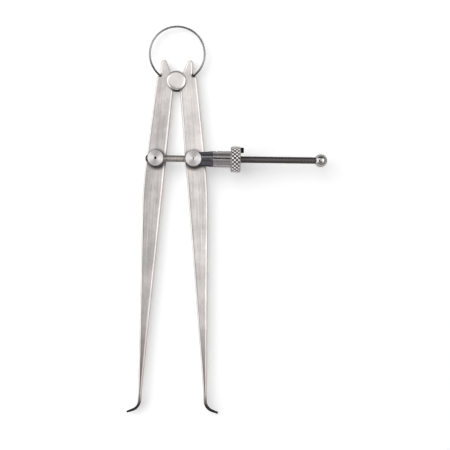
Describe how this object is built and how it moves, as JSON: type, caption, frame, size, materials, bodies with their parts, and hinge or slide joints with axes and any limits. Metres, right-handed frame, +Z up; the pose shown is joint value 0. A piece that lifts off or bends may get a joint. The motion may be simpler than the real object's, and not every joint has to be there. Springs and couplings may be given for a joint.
{
  "type": "inside spring caliper",
  "caption": "Inside spring caliper: flat tapered steel legs with outward feet on a spool stud, a round-wire bow, and a long adjusting screw with a split knurled nut and stop ball.",
  "frame": {"origin": "on the fulcrum stud's axis, at the flat back face that rests on the table", "axes": "+X along the adjusting screw towards its ball, +Y along the caliper towards the bow, +Z up from the table towards the posts' heads"},
  "size_m": [0.0883, 0.175, 0.0132],
  "materials": {
    "leg_steel": "satin steel, ground along the length",
    "bright_steel": "polished and turned",
    "spring_wire": "drawn spring wire",
    "screw_steel": "dark threaded steel",
    "nut_steel": "turned and knurled",
    "black_oxide": "black oxide on steel"
  },
  "bodies": {
    "fulcrum": {"fulcrum_stud": "bright_steel"},
    "left_leg": {"left_leg": "leg_steel"},
    "right_leg": {"right_leg": "leg_steel"},
    "bow": {"bow_spring": "spring_wire"},
    "left_post": {"left_post": "bright_steel", "left_post_washer": "leg_steel", "adjusting_screw": "screw_steel", "stop_ball": "bright_steel", "screw_pin": "black_oxide"},
    "right_post": {"right_post": "bright_steel", "right_post_washer": "leg_steel", "nut_cup": "black_oxide"},
    "nut": {"spring_nut": "nut_steel", "nut_lug": "black_oxide"}
  },
  "joints": [
    {"name": "left_leg_swing", "type": "hinge", "parent": "fulcrum", "child": "left_leg", "pos_m": [0, 0, 0.0023], "axis": [0, 0, 1], "range_deg": [-25, 5]},
    {"name": "right_leg_swing", "type": "hinge", "parent": "fulcrum", "child": "right_leg", "pos_m": [0, 0, 0.0023], "axis": [0, 0, 1], "range_deg": [-5.2, 25.2]},
    {"name": "left_post_swivel", "type": "hinge", "parent": "left_leg", "child": "left_post", "pos_m": [-0.00834, -0.03545, 0.0023], "axis": [0, 0, 1], "range_deg": [-5.2, 25.2]},
    {"name": "right_post_swivel", "type": "hinge", "parent": "right_leg", "child": "right_post", "pos_m": [0.00834, -0.03545, 0.0023], "axis": [0, 0, 1], "range_deg": [-25.2, 5.2]},
    {"name": "nut_spin", "type": "hinge", "parent": "right_post", "child": "nut", "pos_m": [0.0175, -0.03545, 0.00745], "axis": [1, 0, 0], "range_deg": [-3300, 16400]},
    {"name": "bow_lift", "type": "slide", "parent": "fulcrum", "child": "bow", "axis": [0, 1, 0], "range_m": [-0.0007, 0.003], "deforming": ["bow_spring"]}
  ],
  "couplings": [
    {"joint": "right_leg_swing", "follows": "left_leg_swing", "ratio": -1},
    {"joint": "left_post_swivel", "follows": "left_leg_swing", "ratio": -1},
    {"joint": "right_post_swivel", "follows": "left_leg_swing", "ratio": 1},
    {"joint": "nut_spin", "follows": "left_leg_swing", "ratio": -655},
    {"joint": "bow_lift", "follows": "left_leg_swing", "m_per_rad": -0.0067221}
  ]
}
